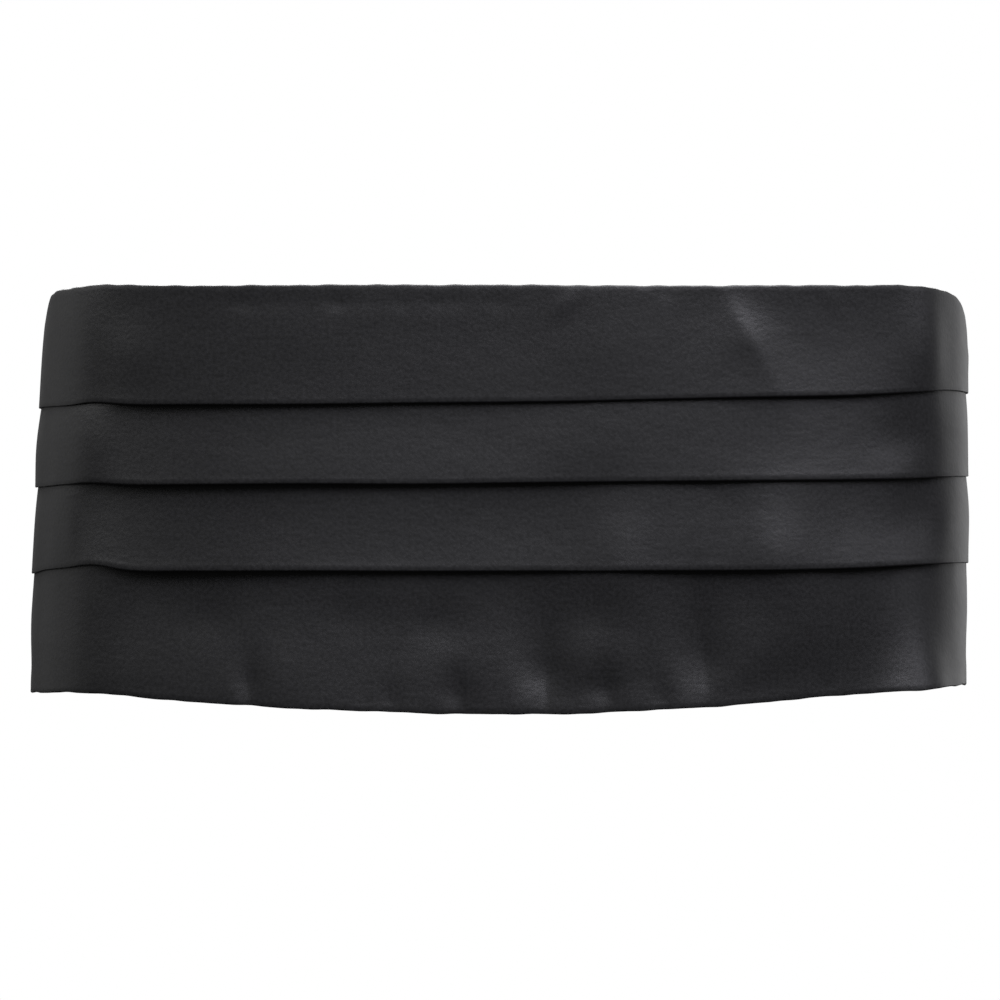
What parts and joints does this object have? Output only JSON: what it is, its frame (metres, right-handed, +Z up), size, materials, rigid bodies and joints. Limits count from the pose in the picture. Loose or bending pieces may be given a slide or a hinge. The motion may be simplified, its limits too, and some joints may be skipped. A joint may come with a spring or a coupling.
{
  "type": "cummerbund",
  "caption": "Worn pleated satin cummerbund: a folded face round the waist, elastic straps and a fastened hook and eye at the back.",
  "frame": {"origin": "middle of the hollow where the waist goes, level with the middle of the face at the centre front", "axes": "-Y out of the centre front, +X towards the face's right side as seen from the front, +Z up the wearer"},
  "size_m": [0.287, 0.201, 0.1279],
  "materials": {
    "satin": "black satin weave, soft sheen",
    "webbing": "black ribbed webbing, matt",
    "clasp_metal": "nickel-plated wire and strip"
  },
  "bodies": {
    "root": {"pleated_face": "satin", "strap_left": "webbing", "strap_right": "webbing", "clasp_eye": "clasp_metal", "clasp_hook": "clasp_metal"}
  },
  "joints": []
}
